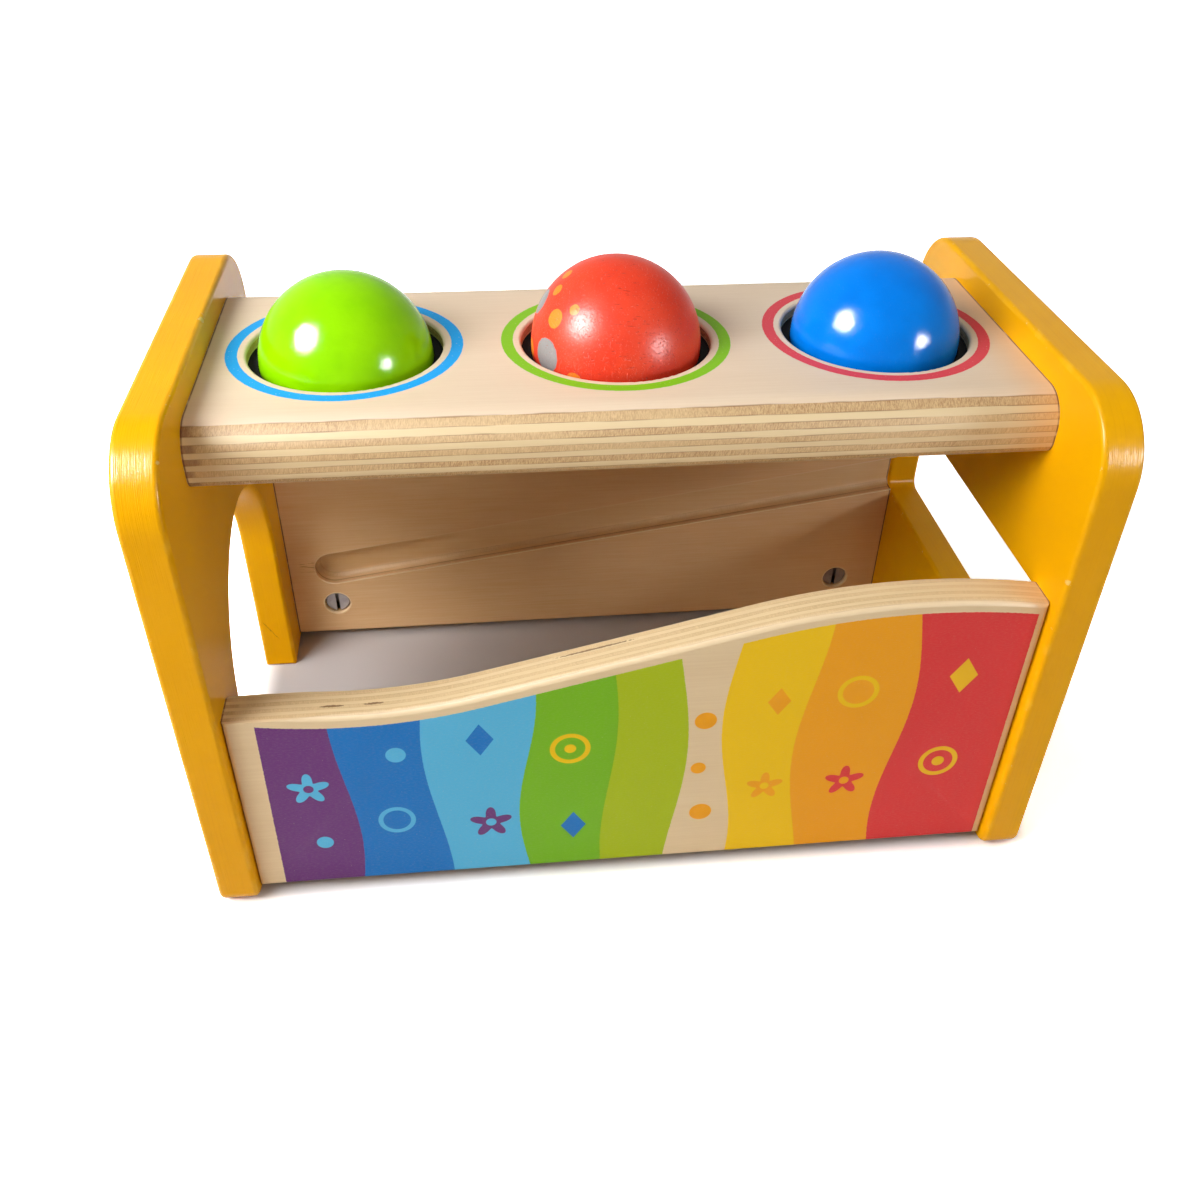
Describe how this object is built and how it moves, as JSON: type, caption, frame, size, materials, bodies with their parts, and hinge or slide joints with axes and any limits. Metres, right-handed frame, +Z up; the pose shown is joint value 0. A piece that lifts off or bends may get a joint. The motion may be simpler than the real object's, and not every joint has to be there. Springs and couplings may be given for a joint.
{
  "type": "ball pounding bench",
  "caption": "Wooden toy bench: painted sides, a hole plate with balls held in elastic rings, a wavy front panel, sloping tray runners and an arched ball exit.",
  "frame": {"origin": "middle of the bench at the level of the surface that it stands on", "axes": "+X along the bench from the arched side to the slotted side, +Y from the printed front to the back, +Z up"},
  "size_m": [0.264, 0.148, 0.1799],
  "materials": {
    "yellow_paint": "glossy water-based paint on plywood",
    "plywood": "clear satin lacquer on birch plywood",
    "printed_plywood": "clear satin lacquer over a colour print on birch plywood",
    "green_lacquer": "glossy lacquer on a turned ball",
    "red_lacquer": "worn glossy lacquer on a turned ball",
    "blue_lacquer": "glossy lacquer on a turned ball",
    "elastic": "matt black rubber",
    "zinc_steel": "zinc-plated steel",
    "beech": "bare beech"
  },
  "bodies": {
    "bench": {"left_side": "yellow_paint", "right_side": "yellow_paint", "top_plate": "plywood", "front_panel": "printed_plywood", "back_panel": "plywood", "left_grip_ring": "elastic", "middle_grip_ring": "elastic", "right_grip_ring": "elastic", "top_bolts": "zinc_steel", "front_bolts": "zinc_steel", "back_bolts": "zinc_steel", "top_barrel_nuts": "zinc_steel", "front_barrel_nuts": "zinc_steel", "back_barrel_nuts": "zinc_steel", "top_dowels": "beech", "front_dowels": "beech", "back_dowels": "beech"},
    "green_ball": {"green_ball": "green_lacquer"},
    "red_ball": {"red_ball": "red_lacquer"},
    "blue_ball": {"blue_ball": "blue_lacquer"}
  },
  "joints": [
    {"name": "green_ball_drop", "type": "slide", "parent": "bench", "child": "green_ball", "axis": [0, 0, 1], "range_m": [-0.126, 0.04], "deforming": ["left_grip_ring"]},
    {"name": "red_ball_drop", "type": "slide", "parent": "bench", "child": "red_ball", "axis": [0, 0, 1], "range_m": [-0.1288, 0.04], "deforming": ["middle_grip_ring"]},
    {"name": "blue_ball_drop", "type": "slide", "parent": "bench", "child": "blue_ball", "axis": [0, 0, 1], "range_m": [-0.1278, 0.04], "deforming": ["right_grip_ring"]}
  ]
}
